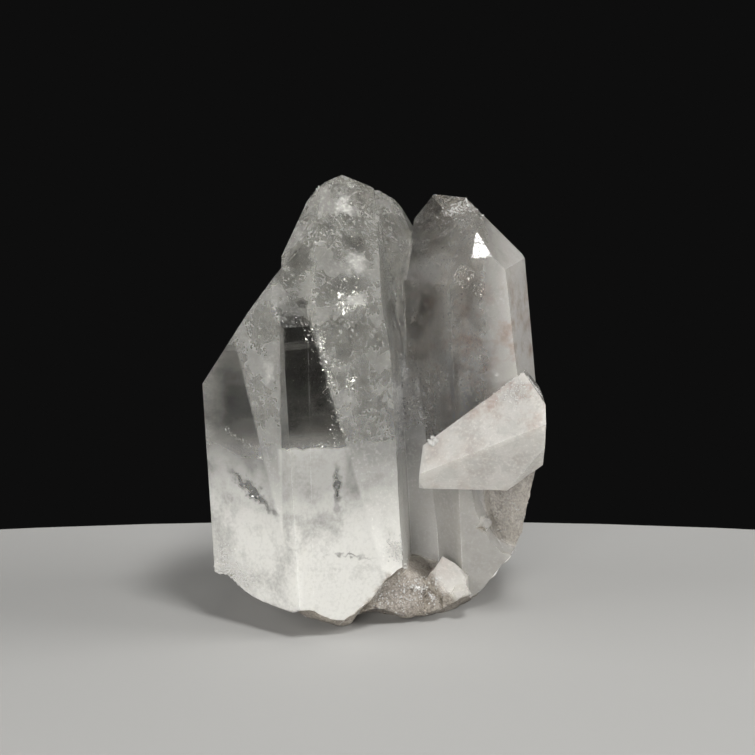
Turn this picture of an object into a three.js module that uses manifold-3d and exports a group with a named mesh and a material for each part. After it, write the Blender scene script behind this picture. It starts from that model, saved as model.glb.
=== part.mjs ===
// Quartz cluster. A large crystal with an off-centre point stands on the left, a second one
// beside it on the right and a third behind the two. A short crystal lies across the front of
// the right one, and all of them share a broken root. They grew into one another, so the
// cluster is one solid.
//
// Millimetres, +Z up, -Y is the front. The origin is under the middle of the cluster, in the
// plane of the flat that it rests on. Azimuths and slopes are in degrees, azimuths from the
// front (-Y) towards +X, slopes from the plane across the crystal's axis.

import * as THREE from "three";
import { ConvexGeometry } from "three/addons/geometries/ConvexGeometry.js";
import { mergeVertices } from "three/addons/utils/BufferGeometryUtils.js";
import Module from "manifold-3d";

const wasm = await Module();
wasm.setup();

// Quartz: the faces of a point slope 51.8 degrees, and the sides of the prism 90.
const RHOMB = 51.8;
const PRISM = 90;

// Each crystal below has a place on its axis, lean (its top towards +X) and pitch (its top
// towards +Y), and reach, its length below that place. A side is an azimuth, a distance from
// the axis and, where it tapers, a slope. A face of the point is an azimuth, a slope and a
// place that it passes through.

// The main crystal leans a little to the left and back, and so does its top.
const MAIN_LEAN = -3.2;
const MAIN_PITCH = 5;

const MAIN = {
  axis: [-12.9, 0, 45],
  lean: MAIN_LEAN,
  pitch: MAIN_PITCH,
  reach: 60,
  sides: [[23, 17.9], [83, 17.8], [143, 17.6], [203, 17.9], [263, 17.8], [323, 18]],
  point: [
    [23, RHOMB, [-15.5, -19.3, 57.4]],
    [-97, RHOMB, [-32.0, -8, 44.5]],
    [-37, RHOMB, [-19.5, -15, 61.4]],
    [83, 84, [4.2, -1.3, 52]],
    [143, RHOMB, [-5.7, 3, 82.4]],
    [203, RHOMB, [-12, 10, 79]],
    [83, RHOMB, [4, 6, 79]],
  ],
};

// Its top is narrower and bulges out on the left.
const MAIN_TOP = {
  axis: [-8, 2, 70],
  lean: MAIN_LEAN,
  pitch: MAIN_PITCH,
  reach: 25,
  sides: [[23, 9], [83, 8.2], [143, 9], [203, 9], [263, 9], [323, 9]],
  point: [
    [23, 62, [-5.8, -1.4, 73.9]],
    [-97, 63, [-16.6, 0, 69.0]],
    [-50, 62, [-11.6, -2.6, 73]],
    [147, 35, [-5.7, 4, 82.6]],
    [100, 46, [-1.2, 4.7, 80.9]],
    [225, 50, [-5.9, 4, 82.9]],
  ],
};

// Plates of the main crystal: the azimuth of the side that stands proud, by how much, and the
// faces that end the plate on that side.
const PLATES = [
  // From the middle of the front to its right edge.
  {
    raised: 23,
    by: 0.08,
    ends: [
      [23, RHOMB, [-15.5, -20.6, 59.0]],
      [-97, RHOMB, [-10.8, -8, 66.8]],
      [-97, 88, [-11.6, -15, 60]],
      [0, 0, [-5.8, -4, 73.9]],
    ],
  },
  // A strip beside the front edge on the left.
  {
    raised: 323,
    by: 0.12,
    ends: [
      [323, RHOMB, [-19.5, -15, 61.8]],
      [245, 87, [-20.4, -14, 45]],
    ],
  },
  // Two on the back.
  {
    raised: 203,
    by: 0.9,
    ends: [
      [203, RHOMB, [-18, 19, 47]],
      [110, 84, [-11, 18, 40]],
    ],
  },
  {
    raised: 143,
    by: 0.7,
    ends: [[143, RHOMB, [0, 16, 58]]],
  },
];

const RIGHT = {
  axis: [18.2, 5, 60],
  lean: -3,
  pitch: 0,
  reach: 70,
  sides: [[-49, 10.3], [10, 10.3], [70, 9.7, 86.5], [130, 10.3], [190, 10.3], [250, 11.6]],
  point: [
    [-49, RHOMB, [13.7, -6.5, 62.2]],
    [10, RHOMB, [20, -5.2, 67.8]],
    [70, RHOMB, [18.1, -0.6, 74.1]],
    [130, RHOMB, [15, 5, 81.1]],
    [250, RHOMB, [6.6, 3, 75.6]],
    [190, RHOMB, [15, 17, 74]],
  ],
};

const BACK = {
  axis: [0, 16, 60],
  lean: -2,
  pitch: 0,
  reach: 70,
  sides: [[25, 10], [85, 10], [145, 10], [205, 10], [265, 10], [325, 10]],
  point: [
    [25, RHOMB, [0, 14, 77]],
    [85, 65, [6.1, 14, 73]],
    [85, RHOMB, [4.3, 14, 75.8]],
    [85, 32, [2.5, 14, 77.4]],
    [145, RHOMB, [0, 18, 76]],
    [205, RHOMB, [0, 20, 72]],
    [265, RHOMB, [-3, 14, 75]],
    [325, RHOMB, [-3, 13, 75]],
  ],
};

// The one between the main and the right crystal, mostly hidden by them.
const MIDDLE = {
  axis: [9, 6.5, 30],
  lean: -3,
  pitch: 4,
  reach: 40,
  sides: [[-10, 6], [50, 6], [110, 6], [170, 6], [230, 6], [290, 6]],
  point: [
    [-10, RHOMB, [9, 2, 44.5]],
    [50, RHOMB, [12, 4, 44.5]],
    [110, RHOMB, [12, 8, 44.5]],
    [170, RHOMB, [9, 10, 45.5]],
    [230, RHOMB, [6, 8, 46.5]],
    [290, RHOMB, [6, 4, 46.5]],
  ],
};

// The short one across the front points down to the left, and its right end is broken off.
const SLANTING = {
  axis: [22.9, -8, 34.1],
  lean: -127,
  pitch: 0,
  reach: 12,
  sides: [[40, 7.4], [100, 7.2], [160, 7], [220, 7], [280, 8.9], [-50, 9.0], [-20, 7.4, 76]],
  point: [
    [40, 60, [7.3, -14, 33]],
    [100, 42, [9.2, -12, 34.8]],
    [-80, RHOMB, [15, -14, 25.8]],
    [-20, 45, [6.3, -14, 29.6]],
    [160, 50, [8.4, -8, 34]],
    [220, 50, [8.4, -8, 26]],
    [-90, 143, [31.5, -8, 30]],
  ],
};

// A short one low at the back, leaning away from the main one.
const REAR = {
  axis: [-15, 15, 14],
  lean: -14,
  pitch: 16,
  reach: 22,
  sides: [[-10, 8], [50, 7.6], [110, 8], [170, 7.4], [230, 7.8], [290, 8]],
  point: [
    [50, RHOMB, [-17, 18, 30]],
    [170, RHOMB, [-17, 20, 29]],
    [290, RHOMB, [-18, 18, 31]],
    [110, RHOMB, [-14, 20, 30]],
    [230, RHOMB, [-20, 20, 30]],
  ],
};

// Small crystals that crust the foot: place, radius, height, azimuth, lean and pitch.
const CRUST = [
  [[13.7, -7, 3], 4.4, 8, 20, -4, 0],
  [[8.4, -10.5, 4], 2.0, 3.4, 0, -20, -30],
  [[11.2, -12.2, 3.2], 1.6, 2.6, 40, 5, -50],
  [[6.2, -11.4, 1.6], 1.7, 2.2, 15, -10, -60],
  [[16.6, -11.0, 4.6], 1.7, 2.8, 30, 35, -40],
  [[9.6, -12.4, 1.4], 1.5, 2.0, 50, 0, -70],
  [[24, 13, 12], 2.6, 5, 10, 50, 20],
  [[8, 21, 9], 3.0, 8, 0, 20, 45],
  [[-4, 23, 6], 2.2, 5, 35, -10, 60],
];

// Angular lumps of broken quartz: place, radii, number of corners, and a seed for their shape.
const SIDE_LUMP = [[26, 6.5, 20], [8.6, 9, 17], 46, 3];
const ROOT_LUMP = [[2, -3, 3], [13.5, 13, 8], 34, 4];
const KNOB = [[20.8, -4.4, 16.8], [1.7, 1.7, 1.6], 20, 6];

// The hollow where the right crystal's foot is broken away in front of the side lump.
const FOOT_HOLLOW = [[33, -8, 24], [15, 13, 17], 40, 9];

// Chips on the points and edges: place and radius.
const CHIPS = [
  [[12.6, 6, 78.4], 1.9],
  [[14.4, 5, 78.6], 1.5],
  [[17.4, 3.4, 77.6], 1.8],
  [[20.6, 3.6, 76.2], 1.2],
  [[-10.0, 3.2, 81.5], 1.9],
  [[-8.8, 3.4, 81.8], 1.1],
  [[14.2, -6.6, 40.6], 0.8],
];
const CHIP_CORNERS = 12;

// How uneven the small crystals and the lumps are, as shares of their radius.
const UNEVEN_SIDES = 0.12;
const UNEVEN_POINT = 0.3;
const BURIED_FOOT = 0.8;
const UNEVEN_LUMP = 0.16;

// The breaks that end the cluster below: azimuth, distance from the middle, and slope.
const MAIN_BREAKS = [[60, 2.8, 1.25], [0, 12, 0.45], [-75, 10, 0.41], [180, 14, 0.8]];
const OTHER_BREAKS = [
  [90, 17.5, 1.15],
  [90, 25.5, 4.6],
  [0, 10, 0.5],
  [45, 14.2, 0.8],
  [-75, 20, 0.85],
  [180, 16, 0.8],
  [135, 22, 1.1],
];
// How deep below the ground the breaks start, the height of their roughness and how far it
// wanders sideways, and the lengths of its coarse and its fine bumps.
const BREAK_FLOOR = -6;
const BREAK_ROUGHNESS = 1.4;
const BREAK_WANDER = 1.1;
const COARSE_BUMP = 7;
const FINE_BUMP = 3;
const BREAK_CELL = 1.8;

// Larger than the cluster all round.
const BEYOND = 110;

const radians = THREE.MathUtils.degToRad;

// The outward direction of a face, from its azimuth and slope in the crystal's own frame.
function direction(azimuth, slope) {
  const a = radians(azimuth);
  const s = radians(slope);
  return new THREE.Vector3(Math.sin(s) * Math.sin(a), -Math.sin(s) * Math.cos(a), Math.cos(s));
}

// The corners of the convex body that the planes enclose.
function cornersOf(planes) {
  const corners = [];
  const axb = new THREE.Vector3();
  const bxc = new THREE.Vector3();
  const cxa = new THREE.Vector3();
  for (let i = 0; i < planes.length; i++) {
    for (let j = i + 1; j < planes.length; j++) {
      for (let k = j + 1; k < planes.length; k++) {
        const [a, b, c] = [planes[i], planes[j], planes[k]];
        axb.crossVectors(a.normal, b.normal);
        bxc.crossVectors(b.normal, c.normal);
        cxa.crossVectors(c.normal, a.normal);
        const volume = a.normal.dot(bxc);
        if (Math.abs(volume) < 1e-6) continue;
        const p = new THREE.Vector3()
          .addScaledVector(bxc, a.offset)
          .addScaledVector(cxa, b.offset)
          .addScaledVector(axb, c.offset)
          .divideScalar(volume);
        if (planes.some((q) => q.normal.dot(p) > q.offset + 1e-5)) continue;
        if (corners.some((q) => q.distanceTo(p) < 1e-3)) continue;
        corners.push(p);
      }
    }
  }
  return corners;
}

// A closed geometry as a solid that can be joined and cut.
function solidOf(geometry) {
  const bare = geometry.clone();
  bare.deleteAttribute("normal");
  bare.deleteAttribute("uv");
  const merged = mergeVertices(bare, 1e-4);
  return new wasm.Manifold(
    new wasm.Mesh({
      numProp: 3,
      vertProperties: merged.attributes.position.array,
      triVerts: new Uint32Array(merged.index.array),
    }),
  );
}

// One crystal, as the body that its sides, the faces of its point and its foot enclose.
function crystal({ axis, lean, pitch, reach, sides, point }) {
  const turn = new THREE.Matrix4()
    .makeRotationY(radians(lean))
    .multiply(new THREE.Matrix4().makeRotationX(radians(-pitch)));
  const centre = new THREE.Vector3(...axis);
  const planes = [];
  for (const [azimuth, distance, slope = PRISM] of sides) {
    const normal = direction(azimuth, slope).applyMatrix4(turn);
    planes.push({ normal, offset: normal.dot(centre) + distance });
  }
  for (const [azimuth, slope, place] of point) {
    const normal = direction(azimuth, slope).applyMatrix4(turn);
    planes.push({ normal, offset: normal.dot(new THREE.Vector3(...place)) });
  }
  const down = new THREE.Vector3(0, 0, -1).applyMatrix4(turn);
  planes.push({ normal: down, offset: down.dot(centre) + reach });
  return solidOf(new ConvexGeometry(cornersOf(planes)));
}

// Noise from -1 to 1, the same at every run: one value for a whole-numbered place, and a
// smooth one between such places.
function hash(i, j, k) {
  const value = Math.sin(i * 127.1 + j * 311.7 + k * 74.7) * 43758.5453;
  return 2 * (value - Math.floor(value)) - 1;
}

function noise(x, y, z) {
  const [i, j, k] = [Math.floor(x), Math.floor(y), Math.floor(z)];
  const fade = (t) => t * t * (3 - 2 * t);
  const [u, v, w] = [fade(x - i), fade(y - j), fade(z - k)];
  const mix = THREE.MathUtils.lerp;
  const along = (dj, dk) => mix(hash(i, j + dj, k + dk), hash(i + 1, j + dj, k + dk), u);
  return mix(mix(along(0, 0), along(1, 0), v), mix(along(0, 1), along(1, 1), v), w);
}

// A small upright crystal with an uneven point.
function smallCrystal([foot, radius, height, azimuth, lean, pitch]) {
  const top = new THREE.Vector3(0, 0, height)
    .applyAxisAngle(new THREE.Vector3(1, 0, 0), radians(-pitch))
    .applyAxisAngle(new THREE.Vector3(0, 1, 0), radians(lean))
    .add(new THREE.Vector3(...foot));
  const sides = [];
  const point = [];
  for (let i = 0; i < 6; i++) {
    const facing = azimuth + 60 * i;
    sides.push([facing, radius * (1 + UNEVEN_SIDES * hash(i, azimuth, 5))]);
    point.push([facing, RHOMB, [top.x, top.y, top.z + UNEVEN_POINT * radius * (i % 2)]]);
  }
  return crystal({ axis: foot, lean, pitch, reach: BURIED_FOOT * radius, sides, point });
}

// An angular lump: the hull of points scattered over an ellipsoid.
function lump([centre, radii, corners, seed]) {
  const golden = Math.PI * (3 - Math.sqrt(5));
  const points = [];
  for (let i = 0; i < corners; i++) {
    const z = 1 - (2 * (i + 0.5)) / corners;
    const across = Math.sqrt(1 - z * z);
    const out = 1 + UNEVEN_LUMP * hash(i, seed, 1);
    const turn = golden * i + 0.6 * hash(i, seed, 2);
    const place = new THREE.Vector3(across * Math.cos(turn), across * Math.sin(turn), z)
      .multiplyScalar(out)
      .multiply(new THREE.Vector3(...radii))
      .add(new THREE.Vector3(...centre));
    points.push(place);
  }
  return solidOf(new ConvexGeometry(points));
}

// Everything above a broken underside: a tall box whose bottom follows the highest of the
// breaks, roughened by noise.
function aboveBreaks(breaks) {
  const cells = Math.round(BEYOND / BREAK_CELL);
  const box = new THREE.BoxGeometry(BEYOND, BEYOND, 2 * BEYOND, cells, cells, 1);
  const place = box.attributes.position;
  for (let i = 0; i < place.count; i++) {
    if (place.getZ(i) > 0) continue;
    const [across, along] = [place.getX(i), place.getY(i)];
    const x = across + BREAK_WANDER * noise(across / FINE_BUMP, along / FINE_BUMP, 40);
    const y = along + BREAK_WANDER * noise(across / FINE_BUMP, along / FINE_BUMP, 60);
    let rise = BREAK_FLOOR;
    for (const [azimuth, start, slope] of breaks) {
      const a = radians(azimuth);
      rise = Math.max(rise, slope * (x * Math.sin(a) - y * Math.cos(a) - start));
    }
    rise += BREAK_ROUGHNESS * noise(x / COARSE_BUMP, y / COARSE_BUMP, 3);
    rise += 0.5 * BREAK_ROUGHNESS * noise(x / FINE_BUMP, y / FINE_BUMP, 7);
    place.setXYZ(i, x, y, rise);
  }
  return solidOf(box);
}

// The main crystal with one side moved out, and its own faces at that side's end.
function plate({ raised, by, ends }) {
  const sides = MAIN.sides.map(([azimuth, d]) => [azimuth, azimuth === raised ? d + by : d]);
  const kept = MAIN.point.filter(([azimuth]) => (azimuth + 360) % 360 !== raised);
  return { ...MAIN, sides, point: [...kept, ...ends] };
}

const join = (solids) => solids.reduce((a, b) => a.add(b));

function cluster() {
  const main = join([MAIN, MAIN_TOP, ...PLATES.map(plate)].map(crystal)).intersect(
    aboveBreaks(MAIN_BREAKS),
  );
  const others = join([
    crystal(RIGHT).subtract(lump(FOOT_HOLLOW)),
    ...[BACK, MIDDLE, REAR].map(crystal),
    ...CRUST.map(smallCrystal),
    ...[SIDE_LUMP, ROOT_LUMP, KNOB].map(lump),
  ]).intersect(aboveBreaks(OTHER_BREAKS));
  const ground = new THREE.BoxGeometry(2 * BEYOND, 2 * BEYOND, BEYOND);
  const whole = join([main, others, crystal(SLANTING)]).subtract(
    solidOf(ground.translate(0, 0, -BEYOND / 2)),
  );
  return CHIPS.reduce(
    (rest, [place, r], i) => rest.subtract(lump([place, [r, r, r], CHIP_CORNERS, i])),
    whole,
  );
}

function geometryOf(solid) {
  const mesh = solid.getMesh();
  const geometry = new THREE.BufferGeometry();
  geometry.setAttribute("position", new THREE.BufferAttribute(mesh.vertProperties, 3));
  geometry.setIndex(new THREE.BufferAttribute(mesh.triVerts, 1));
  geometry.computeVertexNormals();
  return geometry;
}

const clearQuartz = new THREE.MeshStandardMaterial({
  color: 0xd9d8d3,
  roughness: 0.12,
  metalness: 0,
});

const quartzCluster = new THREE.Mesh(geometryOf(cluster()), clearQuartz);
quartzCluster.name = "quartz_cluster";

// The origin moves to the middle of the underside's box.
quartzCluster.geometry.computeBoundingBox();
const middle = quartzCluster.geometry.boundingBox.getCenter(new THREE.Vector3());
quartzCluster.position.set(-middle.x, -middle.y, 0);

const group = new THREE.Group();
group.add(quartzCluster);

export default group;
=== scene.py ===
"""Quartz cluster: the looks of the part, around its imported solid.

Metres, +Z up, the front faces -Y, in the part's own frame. Places and sizes in the tables below
are in millimetres.
"""

import math
import random

import bmesh
import bpy
from bpy.props import FloatProperty, FloatVectorProperty, IntProperty, PointerProperty
from mathutils import Euler, Matrix, Vector, noise
from mathutils.bvhtree import BVHTree


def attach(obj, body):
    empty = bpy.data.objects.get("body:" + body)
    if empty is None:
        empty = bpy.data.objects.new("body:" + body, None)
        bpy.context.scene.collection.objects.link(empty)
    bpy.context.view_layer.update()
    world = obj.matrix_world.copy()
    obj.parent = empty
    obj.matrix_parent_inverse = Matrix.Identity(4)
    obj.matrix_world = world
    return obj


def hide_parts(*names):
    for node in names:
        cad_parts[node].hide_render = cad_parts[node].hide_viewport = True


bl_info = {
    "name": "Quartz cluster",
    "version": (1, 0, 0),
    "blender": (4, 5, 0),
    "location": "View3D > Sidebar > Quartz",
    "description": "Builds the crystals with their haze, cracks and druse, and a plain studio",
    "category": "Object",
}

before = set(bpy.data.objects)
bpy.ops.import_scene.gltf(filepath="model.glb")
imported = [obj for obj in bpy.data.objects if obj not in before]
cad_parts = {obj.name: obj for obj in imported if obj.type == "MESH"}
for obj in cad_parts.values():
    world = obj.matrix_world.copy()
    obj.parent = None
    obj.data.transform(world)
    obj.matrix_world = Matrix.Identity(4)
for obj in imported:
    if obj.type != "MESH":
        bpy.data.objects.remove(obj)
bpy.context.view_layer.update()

NODE = "quartz_cluster"
BODY = "root"
MM = 0.001
QUARTZ_IOR = 1.544

# The ways from the cluster to the camera and to the key light.
CAMERA_TILT = math.radians(12)
EYE_WAY = Vector((0, -math.cos(CAMERA_TILT), math.sin(CAMERA_TILT)))
KEY_WAY = Vector((0.234, -0.339, 0.910)).normalized()

# Helpers


def mm(place):
    """A place or size given in millimetres, in metres."""
    return Vector(place) * MM


def linear(colour):
    """A colour given as an sRGB hex number, as the linear RGBA that a socket takes."""
    channels = [(colour >> shift & 255) / 255 for shift in (16, 8, 0)]
    return [c / 12.92 if c <= 0.04045 else ((c + 0.055) / 1.055) ** 2.4 for c in channels] + [1]


def smooth(value, low, high):
    """0 at low, 1 at high and an even bend between, whichever of the two is the larger."""
    t = min(1, max(0, (value - low) / (high - low)))
    return t * t * (3 - 2 * t)


def rough(place, size, seed=0):
    """Noise from about -1 to 1 whose bumps are size millimetres long."""
    return noise.noise(place / (size * MM) + Vector((seed * 17.3, seed * 5.1, seed * 9.7)))


def brushed(place, brushes):
    """How strongly soft round brushes mark a place: the strongest of them. A brush is its
    middle, its radii, its strength and how soft its rim is, from 0 to 1."""
    best = 0
    for middle, radii, strength, soft in brushes:
        away = Vector((place[i] / MM - middle[i]) / radii[i] for i in range(3)).length
        best = max(best, strength * smooth(away, 1, 1 - soft))
    return best


def add_node(tree, kind, inputs=None, **settings):
    """Adds a node. settings are its own properties. inputs gives, by socket, a value, the
    socket that feeds it, or the node whose first output does."""
    node = tree.nodes.new("ShaderNode" + kind)
    for name, value in settings.items():
        setattr(node, name, value)
    for name, value in (inputs or {}).items():
        if isinstance(value, bpy.types.Node):
            value = value.outputs[0]
        if isinstance(value, bpy.types.NodeSocket):
            tree.links.new(value, node.inputs[name])
        else:
            node.inputs[name].default_value = value
    return node


def new_material(name):
    """An empty node material and its node tree."""
    material = bpy.data.materials.new(name)
    material.use_nodes = True
    material.node_tree.nodes.clear()
    return material, material.node_tree


def finish_piece(bm, name, material):
    """Turns a bmesh into an object of the cluster that has one material."""
    mesh = bpy.data.meshes.new(name)
    bm.to_mesh(mesh)
    bm.free()
    mesh.materials.append(material)
    piece = bpy.data.objects.new(name, mesh)
    bpy.context.scene.collection.objects.link(piece)
    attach(piece, BODY)
    return piece


def pour(bm, part):
    """Adds a small part to a large bmesh, which is much faster than building it there."""
    mesh = bpy.data.meshes.new("part")
    part.to_mesh(mesh)
    part.free()
    bm.from_mesh(mesh)
    bpy.data.meshes.remove(mesh)


def packed_body():
    """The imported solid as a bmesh, merged from its loose triangles."""
    bm = bmesh.new()
    bm.from_mesh(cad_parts[NODE].data)
    bmesh.ops.remove_doubles(bm, verts=bm.verts, dist=MERGE_WITHIN * MM)
    return bm


def packed_tree():
    """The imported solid's surface, to look up places on it."""
    bm = packed_body()
    tree = BVHTree.FromBMesh(bm)
    bm.free()
    return tree


# Skin

# Faces that meet flatter than the first angle are one face. Edges over the second stay crisp,
# and those over the third are worn back.
FLAT_WITHIN = math.radians(0.6)
EDGE_FROM = math.radians(12)
WORN_FROM = math.radians(24)
# The longest mesh edges on grown faces, on breaks and along crisp edges, in millimetres.
GROWN_MESH = 1.5
BROKEN_MESH = 0.6
EDGE_MESH = 0.8
SPLITS = 12
MERGE_WITHIN = 0.002
# Under this height, in millimetres, faces that look down this far are breaks.
ROOT_TOP = 22
LOOKS_DOWN = (-0.15, -0.3)
# How far across the main crystal ends and the right one begins.
MIDDLE = 6
# Bumps in the skin: how long they are in millimetres, their own noise and their share.
WAVES = (4, 3)
BREAK_BUMPS = [(3, 1, 1), (1.3, 2, 0.7), (0.7, 4, 0.3)]

# The long axes of the crystals: the slanting one, the main one and the right one.
SLANTING_AXIS = Vector((-0.8, 0, -0.6))
MAIN_AXIS = Vector((-0.056, 0.087, 0.995))
RIGHT_AXIS = Vector((-0.052, 0, 0.999))

# Where the surface is broken and not grown: the lumps at the right and under the cluster.
LUMPS = [
    ((25.8, 4.9, 17), (9.6, 10.4, 17.5), 0.85, 0.12),
    ((4, -6, 1.5), (15, 13.5, 9), 1, 0.1),
]
SLANTING_PLACE = [((20, -13, 33), (17, 6, 12), 1, 0.2)]
# The small facet under the right crystal's point.
FACET = (19.2, -5.1, 70.1)


def refine(bm, limit):
    """Splits edges in two until none is longer than limit says for it."""
    for _ in range(SPLITS):
        long = [e for e in bm.edges if e.calc_length() > limit(e)]
        if not long:
            break
        bmesh.ops.subdivide_edges(bm, edges=long, cuts=1)
        bmesh.ops.triangulate(bm, faces=[f for f in bm.faces if len(f.verts) > 3])


def is_broken(place, normal):
    """How far a place on the skin is a break and not a grown face, from 0 to 1."""
    under = smooth(normal.z, *LOOKS_DOWN) if place.z < ROOT_TOP * MM else 0
    return max(under, brushed(place, LUMPS))


def skin_mesh(sizes):
    """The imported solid's surface with worn edges, uneven grown faces and rough breaks."""
    bm = packed_body()
    bmesh.ops.dissolve_limit(bm, angle_limit=FLAT_WITHIN, verts=bm.verts, edges=bm.edges)
    bmesh.ops.triangulate(bm, faces=bm.faces)

    def limit(edge):
        if edge.is_manifold and edge.calc_face_angle() > EDGE_FROM:
            return EDGE_MESH * MM
        middle = (edge.verts[0].co + edge.verts[1].co) / 2
        if is_broken(middle, edge.link_faces[0].normal) > 0.5:
            return BROKEN_MESH * MM
        return GROWN_MESH * MM

    refine(bm, limit)
    worn = bm.faces.layers.float.new("worn")
    broken = bm.verts.layers.float.new("broken")
    along = bm.verts.layers.float.new("along")
    sharp = [e for e in bm.edges if e.is_convex and e.calc_face_angle(0) > WORN_FROM]
    worn_faces = bmesh.ops.bevel(
        bm,
        geom=sharp,
        offset=sizes.wear,
        offset_type="OFFSET",
        affect="EDGES",
        segments=2,
        profile=0.5,
        material=-1,
        clamp_overlap=True,
    )["faces"]
    for face in worn_faces:
        face[worn] = 1
    bmesh.ops.triangulate(bm, faces=[f for f in bm.faces if len(f.verts) > 3])
    bm.normal_update()
    for edge in bm.edges:
        edge.smooth = edge.calc_face_angle(0) < EDGE_FROM
    for face in bm.faces:
        face.smooth = True
    moves = []
    for vert in bm.verts:
        vert[broken] = is_broken(vert.co, vert.normal)
        axis = MAIN_AXIS if vert.co.x < MIDDLE * MM else RIGHT_AXIS
        if brushed(vert.co, SLANTING_PLACE) > 0.5:
            axis = SLANTING_AXIS
        vert[along] = vert.co.dot(axis)
        bump = sizes.unevenness * rough(vert.co, *WAVES)
        if vert[broken] > 0:
            lumps = sum(share * rough(vert.co, size, own) for size, own, share in BREAK_BUMPS)
            bump += vert[broken] * sizes.breakage * lumps
        moves.append(vert.normal * bump)
    for vert, move in zip(bm.verts, moves):
        vert.co += move
    return bm


# The haze: how many times a metre it scatters light, by place.

# A ray that enters through the front of the main crystal keeps its place in the picture, and
# one that enters through its left front goes the other way. Haze that follows them shows with
# a crisp outline from the front.
FRONT_SLOPE = 0.149
LEFT_SLOPE = -0.256
DROP = 0.16
# How the clear band's border, the wedge and the parting of the two large crystals lean.
BORDER_LEAN = 0.28
WEDGE_LEAN = 0.31
PARTING_LEAN = 0.056

# Clear rifts and milky knots in the haze: the middle, the roll about the way a ray crosses the
# main crystal, the half width, half depth and half height, and what the haze is multiplied by
# there.
RAY_TURN = Euler((math.radians(-10), 0, math.radians(8.5)))
# How far their rims are frayed, in metres.
FRAY = 0.003
RIFTS = [
    ((-7.6, -15.5, 27.2), 0, (1.05, 7, 5.4), 0.04),
    ((-21.0, -17.0, 24.5), -44, (1.0, 5, 9.5), 0.2),
    ((-14.5, -6.7, 66.9), 25, (2.2, 6, 3.8), 0.12),
    ((-3.7, -2.4, 69.8), 20, (2.4, 6, 1.9), 0.15),
    ((-5.5, -9.8, 62.9), 0, (3.2, 6, 2.4), 0.05),
    ((5.6, 10, 60), 4, (1.5, 9, 7), 0.15),
    ((-8.0, -19.6, 14.8), 8, (7.0, 2.5, 0.4), 0.35),
    ((14.6, -4.5, 42.8), 2, (1.1, 7, 7.5), 0.05),
]
KNOTS = [
    ((-3.9, -6, 66.4), 10, (2.4, 6, 1.9), 2.4),
    ((-11.6, -3, 71.0), 30, (2.8, 6, 2.2), 1.9),
    ((-4.2, -12, 60.6), 0, (2.6, 6, 1.4), 2.4),
    ((-5.8, 0.4, 76.9), 0, (1.7, 4, 1.7), 2.6),
    ((-19.4, -18.0, 48.5), 5, (0.9, 4, 2.8), 2.0),
    ((16.4, -3, 63.4), 35, (1.7, 4, 2.6), 2.0),
]

# A mark fades out between these shares of its radii.
MARK_RIM = {"From Min": 1.3, "From Max": 0.6}

# Ramps: the two values between which each runs, in metres for places, and what it gives at
# them.
RAMP_ROWS = {
    # The main crystal's clear band, the wedge in it and the veil at its left.
    "band top": (-0.0208, -0.0196, 0.051, 0.0566),
    "under the top": (0.0006, -0.0004, 0, 1),
    "left of the border": (0.0016, 0.0006, 0, 1),
    "outside the band": (0, 1, 1, 0.02),
    "wedge": (-0.0064, -0.0056, 0, 1),
    "west": (-0.02, -0.0204, 0, 1),
    "hung veil": (0.04, 0.051, 0, 46),
    "far veil": (-0.0262, -0.0305, 0, 190),
    "torn veil": (0.36, 0.6, 0.1, 1.7),
    # The main crystal's clouds and its root. The settings' haze multiplies most of these.
    "clouds": (0.38, 0.64, 0.15, 1.9),
    "lower clouds": (0.047, 0.037, 1, 2.4),
    "wedge haze": (0, 1, 0, 4),
    "from the left": (-0.0215, -0.02, 0, 1),
    "from the right": (-0.006, -0.009, 0, 1),
    "under the flat top": (0.0326, 0.0321, 0, 1),
    "flat top haze": (0, 1, 0, 1),
    "root haze": (0.036, 0.015, 0, 2),
    # The right crystal and the slanting one.
    "right haze": (0.012, 0.027, 0.4, 5),
    "torn right haze": (0.38, 0.62, 0.35, 1.6),
    "lower right haze": (0.056, 0.04, 1, 6),
    "right foot haze": (0.032, 0.018, 0, 6),
    "slanting haze": (-0.008, -0.009, 0, 8),
    "above the root": (0.022, 0.024, 0, 1),
    "torn slanting haze": (0.4, 0.6, 0.5, 1.4),
    # How milky the skin is.
    "right of the parting": (0.0072, 0.0079, 0, 1),
    "root milk": (0.046, 0.021, 0, 0.68),
    "less root milk": (0, 1, 1, 0.5),
    "slanting milk": (-0.0078, -0.0086, 0, 0.5),
    "past the main crystal": (0.0062, 0.0072, 0, 1),
    "far milk": (0.018, 0.027, 0, 0.4),
    "soft frost": (0.4, 0.64, 0.01, 0.19),
    "fine frost": (0.45, 0.8, 0, 0.26),
    "faces up": (0.3, 0.4, 0, 1),
    # Its relief and gloss.
    "pit rims": (0.34, 0.42, 0, 1),
    "pit depth": (0.0034, 0.0028, 0.004, 0.06),
    "roughness": (0, 1, 0.03, 0.38),
    # Its stains, patches, healed cracks and specks, and the painted shade in the hollows of its
    # breaks.
    "warm": (0.004, 0.01, 0, 1),
    "stains": (0.49, 0.7, 0, 0.6),
    "stained above": (0.036, 0.048, 0, 1),
    "stained below": (0.068, 0.06, 0, 1),
    "grey patches": (0.44, 0.7, 0, 0.5),
    "healed cracks": (0, 0.09, 1, 0),
    "healed share": (0.48, 0.64, 0, 0.55),
    "specks": (0.35, 0.65, -0.15, 0.15),
    "gap_shade": (0.6, 1.05, 0, 1),
}
ENDS = ("From Min", "From Max", "To Min", "To Max")
RAMPS = {name: dict(zip(ENDS, map(float, row))) for name, row in RAMP_ROWS.items()}
EASED = {"interpolation_type": "SMOOTHSTEP"}


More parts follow.
